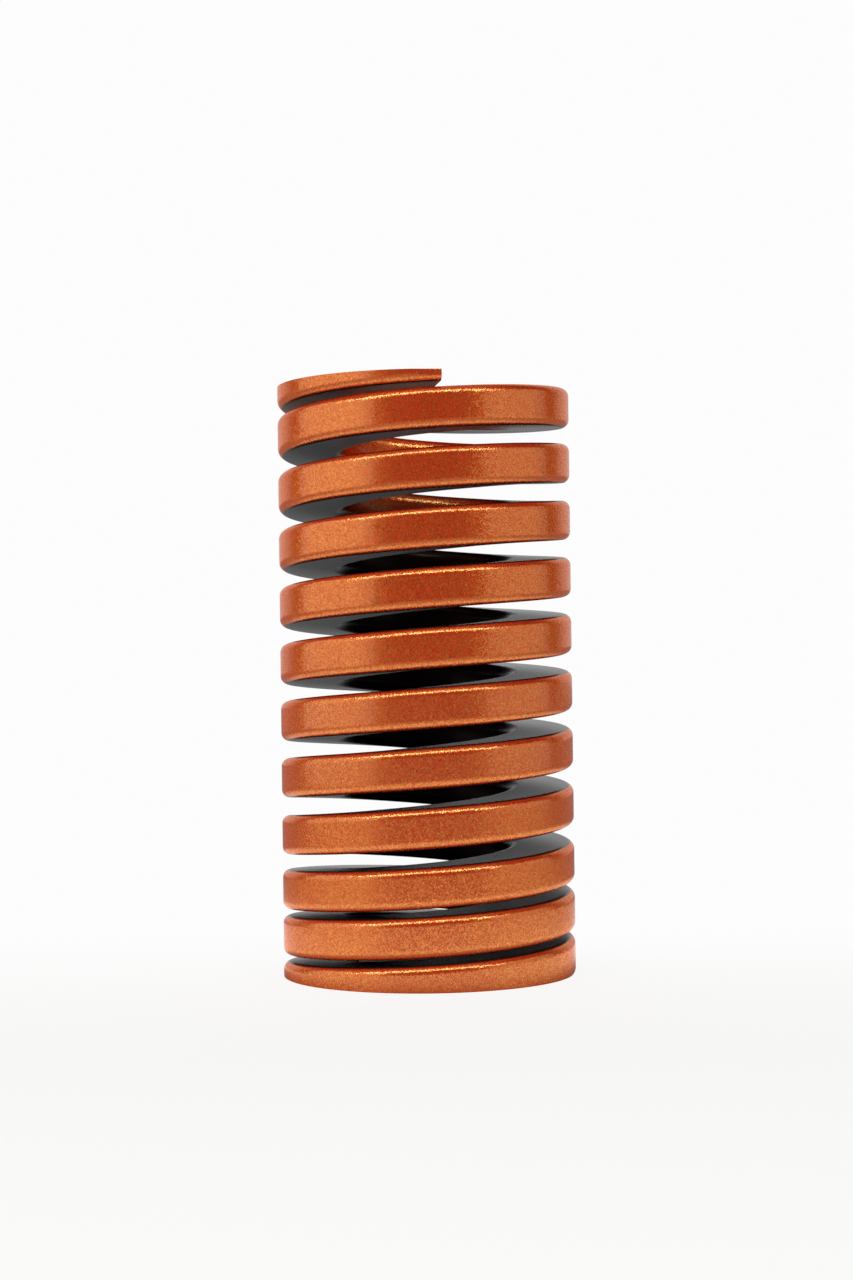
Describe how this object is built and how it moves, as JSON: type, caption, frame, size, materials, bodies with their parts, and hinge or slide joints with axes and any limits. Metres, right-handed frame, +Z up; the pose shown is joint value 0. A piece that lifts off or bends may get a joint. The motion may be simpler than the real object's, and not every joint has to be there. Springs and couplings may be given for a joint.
{
  "type": "bump spring",
  "caption": "Short, stiff compression spring of coiled rectangular wire with closed and ground ends, which slides over a damper rod and takes up the last of the travel.",
  "frame": {"origin": "centre of the ground face that the spring stands on", "axes": "+Z up the axis of the coils, from the lower ground face to the upper one; +X to the right and -Y towards the viewer of the front, where the upper tip ends a little to the right of -Y"},
  "size_m": [0.041, 0.041, 0.0825],
  "materials": {
    "copper_coat": "glossy coat with fine metal flakes"
  },
  "bodies": {
    "root": {"bump_spring": "copper_coat"}
  },
  "joints": []
}
